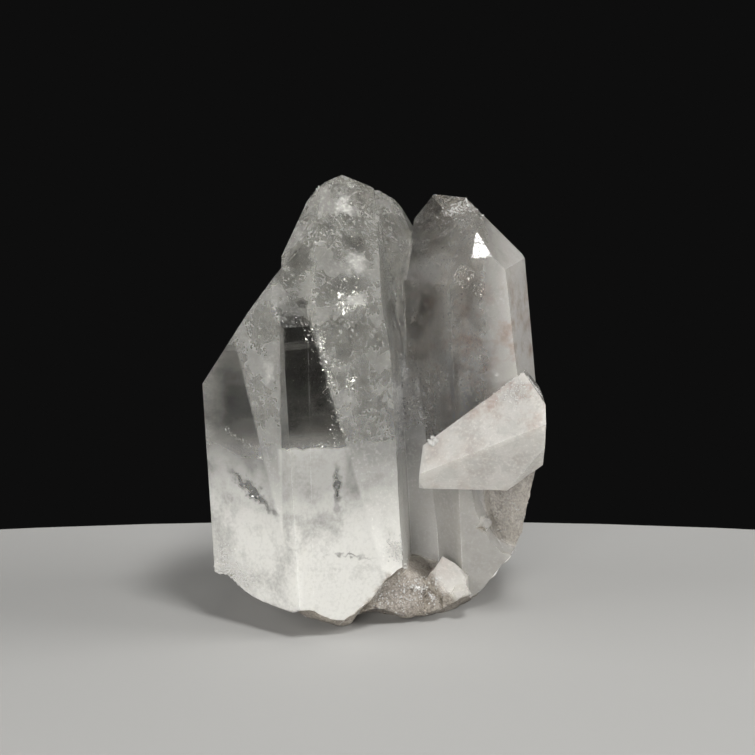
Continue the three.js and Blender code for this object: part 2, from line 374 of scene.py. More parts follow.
def spots(tree, place, rows, start):
    """One factor from a table of rifts or knots, which is start away from all of them."""
    total = start
    for middle, roll, radii, factor in rows:
        turn = RAY_TURN.to_matrix() @ Matrix.Rotation(math.radians(roll), 3, "Y")
        local = add_node(
            tree,
            "Mapping",
            {
                "Vector": place,
                "Location": mm(middle) + Vector((FRAY, FRAY, FRAY)) / 2,
                "Rotation": turn.to_euler(),
                "Scale": mm(radii),
            },
            vector_type="TEXTURE",
        )
        away = add_node(tree, "VectorMath", {0: local}, operation="LENGTH").outputs["Value"]
        near = {"Value": away, **MARK_RIM, "To Min": 1.0, "To Max": float(factor)}
        near = add_node(tree, "MapRange", near, **EASED)
        total = add_node(tree, "Math", {0: total, 1: near}, operation="MULTIPLY")
    return total


def scaled(row, factor):
    """A ramp's row with what it gives multiplied by a setting."""
    return {**row, "To Min": row["To Min"] * factor, "To Max": row["To Max"] * factor}


def main_haze(tree, looks, x, side, left, height, puffs):
    """The main crystal's haze. It has a cloudy top, a clear band with a hazy wedge in it, and
    a milky root with a flat top. Gives the density, how cloudy a place is and how far it is
    under the root's flat top."""
    # The clear band is under the cloudy top and left of a slanting border.
    top = add_node(tree, "MapRange", {"Value": side, **RAMPS["band top"]}, **EASED)
    under = add_node(tree, "Math", {0: height, 1: top}, operation="SUBTRACT")
    under = add_node(tree, "MapRange", {"Value": under, **RAMPS["under the top"]}, **EASED)
    border = add_node(tree, "Math", {0: height, 1: BORDER_LEAN, 2: side}, operation="MULTIPLY_ADD")
    border = add_node(tree, "MapRange", {"Value": border, **RAMPS["left of the border"]}, **EASED)
    clear = add_node(tree, "Math", {0: under, 1: border}, operation="MULTIPLY")
    open_share = add_node(tree, "MapRange", {"Value": clear, **RAMPS["outside the band"]})
    # The wedge stands between the clear band's two windows.
    wedge = add_node(tree, "Math", {0: height, 1: WEDGE_LEAN, 2: left}, operation="MULTIPLY_ADD")
    wedge = add_node(tree, "MapRange", {"Value": wedge, **RAMPS["wedge"]}, **EASED)
    west = add_node(tree, "MapRange", {"Value": side, **RAMPS["west"]}, **EASED)
    wedge = add_node(tree, "Math", {0: wedge, 1: west}, operation="MULTIPLY")
    cloud = add_node(tree, "Math", {0: open_share, 1: wedge}, operation="MAXIMUM")
    # A veil hangs in the top and the far side of the left window.
    hung = add_node(tree, "MapRange", {"Value": height, **RAMPS["hung veil"]}, **EASED)
    far = add_node(tree, "MapRange", {"Value": x, **RAMPS["far veil"]}, **EASED)
    veil = add_node(tree, "Math", {0: hung, 1: far}, operation="MAXIMUM")
    veil = add_node(tree, "Math", {0: veil, 1: west}, operation="MULTIPLY")
    torn = add_node(tree, "MapRange", {"Value": puffs, **RAMPS["torn veil"]}, **EASED)
    veil = add_node(tree, "Math", {0: veil, 1: torn}, operation="MULTIPLY")

    cloudy = {"Value": puffs, **scaled(RAMPS["clouds"], looks.haze)}
    cloudy = add_node(tree, "MapRange", cloudy, **EASED)
    low = add_node(tree, "MapRange", {"Value": height, **RAMPS["lower clouds"]}, **EASED)
    cloudy = add_node(tree, "Math", {0: cloudy, 1: low}, operation="MULTIPLY")
    band = add_node(tree, "Math", {0: cloudy, 1: open_share}, operation="MULTIPLY")
    wedge = add_node(tree, "MapRange", {"Value": wedge, **scaled(RAMPS["wedge haze"], looks.haze)})
    band = add_node(tree, "Math", {0: band, 1: wedge}, operation="MAXIMUM")
    band = add_node(tree, "Math", {0: band, 1: veil}, operation="MAXIMUM")
    # The root's flat top is crisp in the middle and fades out to both sides.
    flat = add_node(tree, "MapRange", {"Value": side, **RAMPS["from the left"]}, **EASED)
    east = add_node(tree, "MapRange", {"Value": side, **RAMPS["from the right"]}, **EASED)
    flat = add_node(tree, "Math", {0: flat, 1: east}, operation="MULTIPLY")
    crisp = add_node(tree, "MapRange", {"Value": height, **RAMPS["under the flat top"]}, **EASED)
    flat = add_node(tree, "Math", {0: flat, 1: crisp}, operation="MULTIPLY")
    shelf = {"Value": flat, **scaled(RAMPS["flat top haze"], looks.root_haze)}
    shelf = add_node(tree, "MapRange", shelf)
    foot = {"Value": height, **scaled(RAMPS["root haze"], looks.root_haze)}
    foot = add_node(tree, "MapRange", foot, **EASED)
    root = add_node(tree, "Math", {0: shelf, 1: foot}, operation="MAXIMUM")
    return add_node(tree, "Math", {0: root, 1: band}, operation="MAXIMUM"), cloud, flat


def right_haze(tree, looks, x, y, z, puffs):
    """The right crystal's haze, thicker to the right and towards its foot, and the milky
    slanting crystal's, which is all that lies in front of it."""
    haze = {"Value": x, **scaled(RAMPS["right haze"], looks.haze)}
    haze = add_node(tree, "MapRange", haze, **EASED)
    torn = add_node(tree, "MapRange", {"Value": puffs, **RAMPS["torn right haze"]}, **EASED)
    haze = add_node(tree, "Math", {0: haze, 1: torn}, operation="MULTIPLY")
    low = add_node(tree, "MapRange", {"Value": z, **RAMPS["lower right haze"]}, **EASED)
    haze = add_node(tree, "Math", {0: haze, 1: low}, operation="MULTIPLY")
    foot = {"Value": z, **scaled(RAMPS["right foot haze"], looks.haze)}
    foot = add_node(tree, "MapRange", foot, **EASED)
    haze = add_node(tree, "Math", {0: haze, 1: foot}, operation="MAXIMUM")
    front = add_node(tree, "MapRange", {"Value": y, **scaled(RAMPS["slanting haze"], looks.haze)})
    above = add_node(tree, "MapRange", {"Value": z, **RAMPS["above the root"]})
    slanting = add_node(tree, "Math", {0: front, 1: above}, operation="MULTIPLY")
    torn = add_node(tree, "MapRange", {"Value": puffs, **RAMPS["torn slanting haze"]}, **EASED)
    slanting = add_node(tree, "Math", {0: slanting, 1: torn}, operation="MULTIPLY")
    return add_node(tree, "Math", {0: haze, 1: slanting}, operation="MAXIMUM")


# The skin's material

# Patterns: how many to a metre, and how fine and strong their smaller parts are.
PATTERNS = {
    "rims 1.5 mm long": {"Scale": 650.0, "Detail": 2.0},
    "puffs 4 mm across": {"Scale": 250.0, "Detail": 4.0, "Roughness": 0.68},
    "clouds 7 mm across": {"Scale": 150.0, "Detail": 6.0, "Roughness": 0.6},
    "grains 0.6 mm across": {"Scale": 1700.0, "Detail": 4.0, "Roughness": 0.6},
    "bends 17 mm long": {"Scale": 60.0, "Detail": 1.0},
    "steps 0.6 mm apart": {"Scale": 1600.0, "Detail": 4.0},
    "pits 0.4 mm across": {"Scale": 2600.0, "Detail": 1.0},
    "bends 1.1 mm long": {"Scale": 900.0, "Detail": 3.0},
    "sugar 0.4 mm across": {"Scale": 2300.0},
    "stains 4 mm across": {"Scale": 260.0, "Detail": 4.0, "Roughness": 0.65},
    "bends 3.3 mm long": {"Scale": 300.0, "Detail": 3.0},
    "healed cracks 5 mm apart": {"Scale": 190.0},
}
# How far patterns are bent or made uneven, in metres.
RIM_WAVER = 0.0012
MILK_WAVER = 0.012
STEP_WAVER = 0.0008
SUGAR_BEND = (0.0014, 0.0014, 0.0014)
HEALED_BEND = (0.005, 0.005, 0.005)
PUFF_STRETCH = 0.15
# Heights of the relief, in millimetres.
STEP_HEIGHT = 0.016
GRAIN_HEIGHT = 0.012
SUGAR_HEIGHT = -0.16
# How milky the flat top, the breaks and the worn edges are, and the most there is.
FLAT_MILK = 0.36
BROKEN_MILK = 0.35
WORN_MILK = 0.6
MOST_MILK = 0.9
# How cloudy the right crystal is, how stained the slanting one, and how much the grain pattern
# counts in the painted shade that darkens the hollows of a break.
RIGHT_CLOUD = 0.55
SLANTING_STAIN = 0.7
GRAIN_GAP_SHADE = 0.6
# Colours: the bubbles that make the haze, then the milky skin, then the breaks.
BUBBLES = linear(0xF2F2EA)
WARM_BUBBLES = linear(0xEEE6DA)
STAINED_BUBBLES = linear(0xB4826A)
WARM_MILK = linear(0xEFEBE4)
GREY_MILK = linear(0xA9A7A2)
STAINED_MILK = linear(0xA87C66)
# Pure white for the worn edges: their frost, and partly a painted highlight along them.
WORN_WHITE_AND_EDGE_HIGHLIGHT = linear(0xFFFFFF)
# Painted shade for the hollows between a break's grains.
PAINTED_GAP_SHADE = linear(0x7C746B)
# Light spreads this far under the milky skin, blue a little less.
SPREAD = 0.0025
SPREAD_SHARES = (1.0, 1.0, 0.9)
# The quartz itself takes off a little blue.
TINT = {"Color": linear(0xE8E6DF), "Density": 8.0}
# How far the haze scatters light on forwards, and how coarsely a ray steps through it.
HAZE_FORWARD = 0.2
HAZE_STEP = 1.4


def grown_quartz(looks):
    """Clear grown quartz: glossy faces, finely stepped across their length, over a haze of
    fine bubbles that scatters light inside. Worn edges and breaks are frosted. The worn edges
    are painted pure white, partly as a painted highlight along them, and the breaks carry
    painted shade in the hollows between their grains."""
    material, tree = new_material("clear to milky grown quartz")
    place = add_node(tree, "TexCoord").outputs["Object"]
    broken = add_node(tree, "Attribute", attribute_name="broken").outputs["Fac"]
    worn = add_node(tree, "Attribute", attribute_name="worn").outputs["Fac"]
    along = add_node(tree, "Attribute", attribute_name="along").outputs["Fac"]
    x, y, z = add_node(tree, "SeparateXYZ", {"Vector": place}).outputs

    # Bumps make the rims of the bands and rifts uneven.
    warp = add_node(tree, "TexNoise", {"Vector": place, **PATTERNS["rims 1.5 mm long"]})
    height = add_node(tree, "Math", {0: y, 1: DROP, 2: z}, operation="MULTIPLY_ADD")
    height = add_node(tree, "Math", {0: warp, 1: RIM_WAVER, 2: height}, operation="MULTIPLY_ADD")
    side = add_node(tree, "Math", {0: y, 1: FRONT_SLOPE, 2: x}, operation="MULTIPLY_ADD")
    left = add_node(tree, "Math", {0: y, 1: LEFT_SLOPE, 2: x}, operation="MULTIPLY_ADD")
    # Puffs of haze are drawn out along the way of the rays.
    deep = add_node(tree, "Math", {0: y, 1: PUFF_STRETCH}, operation="MULTIPLY")
    seen = add_node(tree, "CombineXYZ", {0: side, 1: deep, 2: height})
    puffs = {"Vector": seen, **PATTERNS["puffs 4 mm across"]}
    puffs = add_node(tree, "TexNoise", puffs)
    main, cloud, flat = main_haze(tree, looks, x, side, left, height, puffs)
    right = right_haze(tree, looks, x, y, z, puffs)
    # The main crystal's right side leans, and parts the two.
    share = add_node(tree, "Math", {0: z, 1: PARTING_LEAN, 2: x}, operation="MULTIPLY_ADD")
    share = add_node(tree, "MapRange", {"Value": share, **RAMPS["right of the parting"]}, **EASED)
    density = add_node(tree, "Mix", {"Factor": share, "A": main, "B": right})
    frayed = {0: warp.outputs["Color"], 1: (FRAY, FRAY, FRAY), 2: place}
    frayed = add_node(tree, "VectorMath", frayed, operation="MULTIPLY_ADD")
    marks = spots(tree, frayed, RIFTS + KNOTS, 1.0)
    density = add_node(tree, "Math", {0: density, 1: marks}, operation="MULTIPLY")

    # The root is milky right up to the skin, less so at the right. The slanting crystal is too.
    soft = {"Vector": place, **PATTERNS["clouds 7 mm across"]}
    soft = add_node(tree, "TexNoise", soft)
    milk = add_node(tree, "Math", {0: soft, 1: MILK_WAVER, 2: z}, operation="MULTIPLY_ADD")
    milk = add_node(tree, "MapRange", {"Value": milk, **RAMPS["root milk"]}, **EASED)
    shelf = add_node(tree, "Math", {0: flat, 1: FLAT_MILK}, operation="MULTIPLY")
    milk = add_node(tree, "Math", {0: milk, 1: shelf}, operation="MAXIMUM")
    less = add_node(tree, "MapRange", {"Value": share, **RAMPS["less root milk"]})
    milk = add_node(tree, "Math", {0: milk, 1: less}, operation="MULTIPLY")
    front = add_node(tree, "MapRange", {"Value": y, **RAMPS["slanting milk"]})
    reach = add_node(tree, "MapRange", {"Value": x, **RAMPS["past the main crystal"]})
    front = add_node(tree, "Math", {0: front, 1: reach}, operation="MULTIPLY")
    milk = add_node(tree, "Math", {0: milk, 1: front}, operation="MAXIMUM")
    # The right crystal's far side is milky too.
    far = add_node(tree, "MapRange", {"Value": x, **RAMPS["far milk"]}, **EASED)
    milk = add_node(tree, "Math", {0: milk, 1: far}, operation="MAXIMUM")
    # Frost of fine bubbles lies just under the cloudy parts of the skin and under the points.
    grain = {"Vector": place, **PATTERNS["grains 0.6 mm across"]}
    grain = add_node(tree, "TexNoise", grain)
    frost = add_node(tree, "MapRange", {"Value": soft, **RAMPS["soft frost"]}, **EASED)
    fine = add_node(tree, "MapRange", {"Value": grain, **RAMPS["fine frost"]}, **EASED)
    frost = add_node(tree, "Math", {0: frost, 1: fine}, operation="ADD")
    tilt = add_node(tree, "TexCoord").outputs["Normal"]
    tilt = add_node(tree, "SeparateXYZ", {"Vector": tilt}).outputs["Z"]
    tilt = add_node(tree, "MapRange", {"Value": tilt, **RAMPS["faces up"]})
    cloud = add_node(tree, "Math", {0: cloud, 1: tilt}, operation="MAXIMUM")
    cloud = add_node(tree, "Mix", {"Factor": share, "A": cloud, "B": RIGHT_CLOUD})
    cloud = add_node(tree, "Math", {0: cloud, 1: front}, operation="ADD")
    frost = add_node(tree, "Math", {0: frost, 1: cloud}, operation="MULTIPLY")
    milk = add_node(tree, "Math", {0: milk, 1: frost}, operation="ADD")
    milk = add_node(tree, "Math", {0: milk, 1: marks}, operation="MULTIPLY")
    milk = add_node(tree, "Math", {0: broken, 1: BROKEN_MILK, 2: milk}, operation="MULTIPLY_ADD")
    milk = add_node(tree, "Math", {0: worn, 1: WORN_MILK, 2: milk}, operation="MULTIPLY_ADD")
    milk = add_node(tree, "Math", {0: milk, 1: MOST_MILK}, operation="MINIMUM")
    glassy = add_node(tree, "Math", {0: 1.0, 1: milk}, operation="SUBTRACT")

    # Growth steps run round the crystal.
    wander = {"Vector": place, **PATTERNS["bends 17 mm long"]}
    wander = add_node(tree, "TexNoise", wander)
    steps = add_node(tree, "Math", {0: wander, 1: STEP_WAVER, 2: along}, operation="MULTIPLY_ADD")
    steps = {"W": steps, **PATTERNS["steps 0.6 mm apart"]}
    steps = add_node(tree, "TexNoise", steps, noise_dimensions="1D")
    # Etch pits are deep on the small bright facet and shallow elsewhere.
    pits = {"Vector": place, **PATTERNS["pits 0.4 mm across"]}
    pits = add_node(tree, "TexNoise", pits)
    pits = add_node(tree, "MapRange", {"Value": pits, **RAMPS["pit rims"]})
    facet = add_node(tree, "VectorMath", {0: place, 1: mm(FACET)}, operation="DISTANCE")
    etched = {"Value": facet.outputs["Value"], **RAMPS["pit depth"]}
    etched = add_node(tree, "MapRange", etched)
    relief = add_node(tree, "Math", {0: pits, 1: etched}, operation="MULTIPLY")
    relief = {0: steps, 1: STEP_HEIGHT, 2: relief}
    relief = add_node(tree, "Math", relief, operation="MULTIPLY_ADD")
    # Breaks are sugary, of uneven grains.
    uneven = {"Vector": place, **PATTERNS["bends 1.1 mm long"]}
    uneven = add_node(tree, "TexNoise", uneven)
    uneven = {0: uneven.outputs["Color"], 1: SUGAR_BEND, 2: place}
    uneven = add_node(tree, "VectorMath", uneven, operation="MULTIPLY_ADD")
    sugar = {"Vector": uneven, **PATTERNS["sugar 0.4 mm across"]}
    sugar = add_node(tree, "TexVoronoi", sugar)
    coarse = add_node(tree, "Math", {0: broken, 1: SUGAR_HEIGHT}, operation="MULTIPLY")
    relief = add_node(tree, "Math", {0: sugar, 1: coarse, 2: relief}, operation="MULTIPLY_ADD")
    relief = {0: grain, 1: GRAIN_HEIGHT, 2: relief}
    relief = add_node(tree, "Math", relief, operation="MULTIPLY_ADD")
    bump = add_node(tree, "Bump", {"Height": relief, "Distance": MM, "Strength": 1.0})

    frosted = add_node(tree, "Math", {0: broken, 1: worn}, operation="MAXIMUM")
    roughness = add_node(tree, "MapRange", {"Value": frosted, **RAMPS["roughness"]})

    # The right crystals are a little warmer, with brown iron stains.
    warm = add_node(tree, "MapRange", {"Value": x, **RAMPS["warm"]})
    stain = {"Vector": place, **PATTERNS["stains 4 mm across"]}
    stain = {"Value": add_node(tree, "TexNoise", stain), **RAMPS["stains"]}
    stain = add_node(tree, "MapRange", stain)
    tall = add_node(tree, "MapRange", {"Value": z, **RAMPS["stained above"]})
    tall = add_node(tree, "Math", {0: front, 1: SLANTING_STAIN, 2: tall}, operation="MULTIPLY_ADD")
    stain = add_node(tree, "Math", {0: stain, 1: tall}, operation="MULTIPLY")
    ends = add_node(tree, "MapRange", {"Value": z, **RAMPS["stained below"]})
    stain = add_node(tree, "Math", {0: stain, 1: ends}, operation="MULTIPLY")
    stain = add_node(tree, "Math", {0: stain, 1: warm}, operation="MULTIPLY")
    bubbles = {"Factor": warm, "A": BUBBLES, "B": WARM_BUBBLES}
    bubbles = add_node(tree, "Mix", bubbles, data_type="RGBA").outputs["Result"]
    bubbles = {"Factor": stain, "A": bubbles, "B": STAINED_BUBBLES}
    bubbles = add_node(tree, "Mix", bubbles, data_type="RGBA").outputs["Result"]

    # Milky parts are paler and darker by turns, with grey healed cracks in them.
    patch = add_node(tree, "MapRange", {"Value": soft, **RAMPS["grey patches"]}, **EASED)
    bent = {"Vector": place, **PATTERNS["bends 3.3 mm long"]}
    bent = add_node(tree, "TexNoise", bent)
    bent = {0: bent.outputs["Color"], 1: HEALED_BEND, 2: place}
    bent = add_node(tree, "VectorMath", bent, operation="MULTIPLY_ADD")
    healed = {"Vector": bent, **PATTERNS["healed cracks 5 mm apart"]}
    healed = add_node(tree, "TexVoronoi", healed, feature="DISTANCE_TO_EDGE")
    healed = add_node(tree, "MapRange", {"Value": healed, **RAMPS["healed cracks"]}, **EASED)
    faint = add_node(tree, "MapRange", {"Value": soft, **RAMPS["healed share"]})
    healed = add_node(tree, "Math", {0: healed, 1: faint}, operation="MULTIPLY")
    patch = add_node(tree, "Math", {0: patch, 1: healed}, operation="MAXIMUM")
    speck = add_node(tree, "MapRange", {"Value": grain, **RAMPS["specks"]})
    patch = add_node(tree, "Math", {0: patch, 1: speck}, operation="ADD", use_clamp=True)
    milky = {"Factor": warm, "A": [*looks.quartz_colour, 1], "B": WARM_MILK}
    milky = add_node(tree, "Mix", milky, data_type="RGBA").outputs["Result"]
    milky = {"Factor": patch, "A": milky, "B": GREY_MILK}
    milky = add_node(tree, "Mix", milky, data_type="RGBA").outputs["Result"]
    milky = {"Factor": stain, "A": milky, "B": STAINED_MILK}
    milky = add_node(tree, "Mix", milky, data_type="RGBA").outputs["Result"]
    # Worn edges are painted pure white: frosted wear, and partly a painted highlight along the
    # edges.
    milky = {"Factor": worn, "A": milky, "B": WORN_WHITE_AND_EDGE_HIGHLIGHT}
    milky = add_node(tree, "Mix", milky, data_type="RGBA").outputs["Result"]
    # Breaks are stained grey brown, with painted shade that darkens the hollows between the
    # grains.
    gap_shade = add_node(tree, "Math", {0: sugar, 1: GRAIN_GAP_SHADE, 2: soft}, operation="MULTIPLY_ADD")
    gap_shade = add_node(tree, "MapRange", {"Value": gap_shade, **RAMPS["gap_shade"]})
    sugary = {"Factor": gap_shade, "A": [*looks.break_colour, 1], "B": PAINTED_GAP_SHADE}
    sugary = add_node(tree, "Mix", sugary, data_type="RGBA").outputs["Result"]
    colour = {"Factor": broken, "A": milky, "B": sugary}
    colour = add_node(tree, "Mix", colour, data_type="RGBA").outputs["Result"]
    glass = add_node(
        tree,
        "BsdfPrincipled",
        {
            "Base Color": colour,
            "Transmission Weight": glassy,
            "Roughness": roughness,
            "IOR": QUARTZ_IOR,
            "Normal": bump,
            "Subsurface Weight": 1.0,
            "Subsurface Radius": SPREAD_SHARES,
            "Subsurface Scale": SPREAD,
        },
        subsurface_method="BURLEY",
    )
    tint = add_node(tree, "VolumeAbsorption", TINT)
    haze = {"Color": bubbles, "Density": density, "Anisotropy": HAZE_FORWARD}
    haze = add_node(tree, "VolumeScatter", haze)
    inside = add_node(tree, "AddShader", {0: tint, 1: haze})
    add_node(tree, "OutputMaterial", {"Surface": glass, "Volume": inside})
    material.cycles.volume_step_rate = HAZE_STEP
    return material


# Cracks

# Cracks inside, silvered by thin films of air: the middle of a sheet, its two half sides, how
# thick it is, how many films it holds and how long they are.
SHEETS = [
    ((-8.2, -16.5, 46), (0.5, 2.2, 0), (2.2, 0, -9.5), 0.5, 170, 0.9),
    ((-9.5, -14, 50), (0.8, 4, -0.5), (0.6, 0, -6), 0.5, 90, 0.9),
    ((-11.4, -17.2, 56.0), (1.9, 0.3, 0), (0.3, 0, -1.8), 0.8, 90, 0.6),
    ((-6.0, 0.9, 76.8), (1.7, 0.2, 0.3), (0.2, 0.4, 1.7), 0.6, 130, 0.6),
    ((-5.9, 2.4, 79.2), (1.2, 0.2, 0.3), (0.2, 0.4, 0.8), 0.4, 50, 0.6),
    ((-3.4, -3.0, 70.4), (1.1, 0.2, 0), (0, 0.4, 1.5), 0.8, 70, 0.4),
    ((-4.0, -6.2, 66.8), (2.2, 0.2, 0), (0, 0.9, 1.4), 0.8, 110, 0.4),
    ((-4.4, -13.6, 60.8), (2.6, 0.2, 0.2), (0, 1.2, 1.1), 0.6, 190, 1.1),
    ((-5.2, -10.5, 63.5), (3.0, 0.4, 0), (0, 1.4, 2.6), 0.8, 190, 0.4),
    ((-7.2, -16.8, 49.2), (0.8, 0.3, 0), (0.3, 0.4, 1.8), 0.6, 70, 0.7),
    ((-4.6, -16.8, 45.2), (0.8, 0.3, 0), (0.2, 0.4, 2.2), 0.6, 110, 0.7),
    ((-19.2, -18.3, 48.6), (0.8, -0.6, 0), (0, 0.4, 2.4), 0.6, 110, 0.7),
    ((-12.2, -20.6, 35.0), (5.4, 2.1, 0), (0, 1.2, 0.4), 0.4, 260, 0.5),
    ((-24.0, -15.2, 35.0), (4.0, -3.0, -2.6), (0.3, 0.6, 0.3), 0.3, 90, 0.5),
    ((-21.4, -17.6, 24.6), (6.0, -4.8, -6.2), (0.6, 0.9, 0.6), 0.6, 300, 0.7),
    ((-7.2, -18.6, 27.0), (0.5, 0.9, 0), (0.3, 0, -4.6), 0.4, 70, 0.6),
    ((16.6, -6.2, 64.4), (1.3, 0.2, -0.9), (0.8, 0.3, 1.7), 0.4, 220, 0.5),
    ((20.0, -6.2, 61.4), (1.6, 0.1, -1.2), (0.6, 0.1, 0.9), 0.3, 120, 0.5),
    ((21.8, -6.0, 54.6), (0.9, 0.1, -0.6), (0.2, 0.1, 2.4), 0.25, 110, 0.6),
    ((23.0, -5.9, 46.8), (0.9, 0.1, -0.4), (0.2, 0.1, 2.8), 0.25, 140, 0.7),
    ((8.6, -3.0, 52), (1.2, -1.2, 0), (0.3, 0, -5), 0.8, 120, 0.35),
    ((14.0, -17.6, 30), (5, -0.8, 2.2), (1.6, -0.6, -2.6), 0.8, 160, 0.4),
    ((22, -17.2, 36), (4, -0.4, 2.2), (1.6, 0.4, -3), 0.8, 160, 0.4),
    ((15.8, -13.7, 26.5), (6.4, 0, 0.1), (0, 0.3, 0.3), 0.3, 320, 0.5),
    ((9.7, -14.3, 29.8), (0.1, 0.2, 3.2), (0.3, 0.2, 0), 0.3, 150, 0.5),
    ((-23.6, -17.4, 15), (6, -4.6, 0), (0, 0.3, 5), 0.8, 240, 0.4),
    ((26.0, -1.8, 15.0), (1.6, 0.6, 2.6), (0.6, 1.2, -0.4), 0.6, 60, 0.6),
    ((-7, -10, 58), (7, 2, 0), (0, 3, 12), 6, 260, 0.25),
    ((-11, -18, 44), (5, 1.5, 0), (0, 1, 9), 3, 220, 0.2),
    ((-8.4, -17, 42), (1.4, 1, 0), (0.8, 0, -6), 2, 160, 0.4),
    ((16, -2, 52), (6, 3, 0), (0, 2, 14), 6, 320, 0.25),
    ((-14, -17, 22), (12, 2, 0), (0, 2, 8), 4, 260, 0.3),
]
FILM_THICK = 0.02
FILM_GAP = 0.12
FILM_REACH = 0.3
# Shares of a film's usual length, how much shorter ones prevail, and shares for its width.
FILM_LENGTHS = (0.3, 1)
FILM_SHORTER = 1.5
FILM_WIDTHS = (0.2, 0.8)
# A sheet waves three times as fast as it goes across, and its films lie off it by half.
SHEET_WAVE = 3
SHEET_FUZZ = 0.5


def silvered_crack():
    """A crack in quartz. Its film of air throws back all the light that meets it aslant, as a
    mirror does, so it glints or goes dark as it turns."""
    material, tree = new_material("air film in cracked quartz")
    mirror = add_node(
        tree,
        "BsdfPrincipled",
        {"Base Color": linear(0xF2F2F0), "Metallic": 1.0, "Roughness": 0.2},
    )
    add_node(tree, "OutputMaterial", {"Surface": mirror})
    return material


def is_inside(skin, place, gap):
    """True if a place is in the solid, at least gap millimetres under its skin."""
    near, normal, _, away = skin.find_nearest(place)
    return (place - near).dot(normal) < 0 and away > gap * MM


def bent_in(way, normal):
    """A way out of the quartz through a face, as it is before the face bends it to way."""
    along = (way - normal * way.dot(normal)) / QUARTZ_IOR
    return along + normal * math.sqrt(1 - along.length_squared)


def glint_way(skin, place):
    """How a film lies that throws the key light to the front: halfway between the two."""
    _, normal, _, _ = skin.ray_cast(place, EYE_WAY)
    return (bent_in(EYE_WAY, normal) + bent_in(KEY_WAY, normal)).normalized()


# Druse

# Crusts of tiny crystals: the middle and radii of the patch of skin they stand on, how many,
# and how wide they are.
CRUSTS = [
    ((15.5, 3.6, 76.6), (5.6, 2.4, 1.4), 170, 0.32),
    ((-10, 3, 80.2), (1.8, 1.6, 1.2), 60, 0.35),
    ((-28.4, -15.2, 11.6), (2.4, 1.6, 3.2), 160, 0.36),
    ((-25.0, -16.8, 9.6), (5.0, 2.2, 2.8), 220, 0.34),
    ((4.2, -17.6, 15.0), (2.4, 1.0, 2.4), 110, 0.38),
    ((8.6, -13.4, 6.6), (4.6, 3, 3.6), 200, 0.4),
    ((27, -2.5, 15), (3.4, 3, 7), 70, 0.35),
    ((27, -12.5, 43.5), (3.2, 2.2, 3.6), 220, 0.32),
    ((11.2, -13.0, 34.2), (0.7, 0.7, 0.5), 9, 1.2),
    ((2, -16, 4), (7, 3, 2.4), 120, 0.35),
]
DRUSE_TAPER = 0.84
DRUSE_POINT = 0.3
DRUSE_TIP = 0.04
DRUSE_OVERLAP = 0.002
# How far tiny crystals stray from the middle of their patch and lean away from the skin.
DRUSE_STRAY = 0.5
DRUSE_LEAN = 0.5
# Shares of the usual width, of the width for the height, and how clear of the flat they are.
DRUSE_WIDTHS = (0.4, 1.1)
DRUSE_HEIGHTS = (0.5, 1.1)
DRUSE_CLEAR = 1.5


def drusy_quartz():
    """Tiny clear crystals, which look white together and glint one by one."""
    material, tree = new_material("drusy quartz")
    glass = add_node(
        tree,
        "BsdfPrincipled",
        {
            "Base Color": linear(0xF4F2EE),
            "Transmission Weight": 0.4,
            "Roughness": 0.1,
            "IOR": QUARTZ_IOR,
        },
    )
    add_node(tree, "OutputMaterial", {"Surface": glass})
    return material


def tiny_crystal(bm, matrix):
    """A six-sided prism with a point. matrix places one that is a unit wide and tall."""
    bmesh.ops.create_cone(
        bm,
        cap_ends=True,
        segments=6,
        radius1=0.5,
        radius2=0.5 * DRUSE_TAPER,
        depth=1,
        matrix=matrix,
    )
    bmesh.ops.create_cone(
        bm,
        cap_ends=True,
        segments=6,
        radius1=0.5 * DRUSE_TAPER,
        radius2=DRUSE_TIP,
        depth=DRUSE_POINT,
        matrix=matrix @ Matrix.Translation((0, 0, 0.5 + DRUSE_POINT / 2 - DRUSE_OVERLAP)),
    )


# Studio

TARGET = mm((0.53, -1.6, 44.2))
PICTURE_SIDE = 755
FOCAL_PIXELS = 2210
SENSOR = 36
FLOOR_DEPTH = 0.01
# The board ends a little behind the cluster, so that clear quartz shows the dark past it.
FLOOR_BEHIND = 0.055
FLOOR_SIDES = 128
NEAREST_SEEN = 0.01
FARTHEST_SEEN = 10

# The soft lights: direction from the cluster, distance, side and how bright, in the same
# measure as the key light.
LAMPS = {
    "key": (KEY_WAY, 0.6, 0.16, 24.0),
    "fill": ((-0.20, -0.95, 0.12), 0.8, 0.4, 10.6),
    "left": ((-0.95, -0.15, 0.35), 0.7, 0.5, 2.6),
    "right": ((0.95, 0.0, 0.4), 0.7, 0.4, 6.0),
}


def look_at(thing, place):
    """Turns a lamp or the camera towards a place."""
    thing.rotation_mode = "QUATERNION"
    thing.rotation_quaternion = (place - thing.location).to_track_quat("-Z", "Y")


def softbox(name, direction, distance, size, radiance):
    """A square soft light that shines at the cluster. radiance is how bright its face is."""
    data = bpy.data.lights.new(name, "AREA")
    data.shape = "SQUARE"
    data.size = size
    data.energy = radiance * math.pi * size * size
    lamp = bpy.data.objects.new(name, data)
    lamp.location = TARGET + Vector(direction).normalized() * distance
    look_at(lamp, TARGET)
    lamp.visible_camera = False
    bpy.context.scene.collection.objects.link(lamp)


# Settings and operators


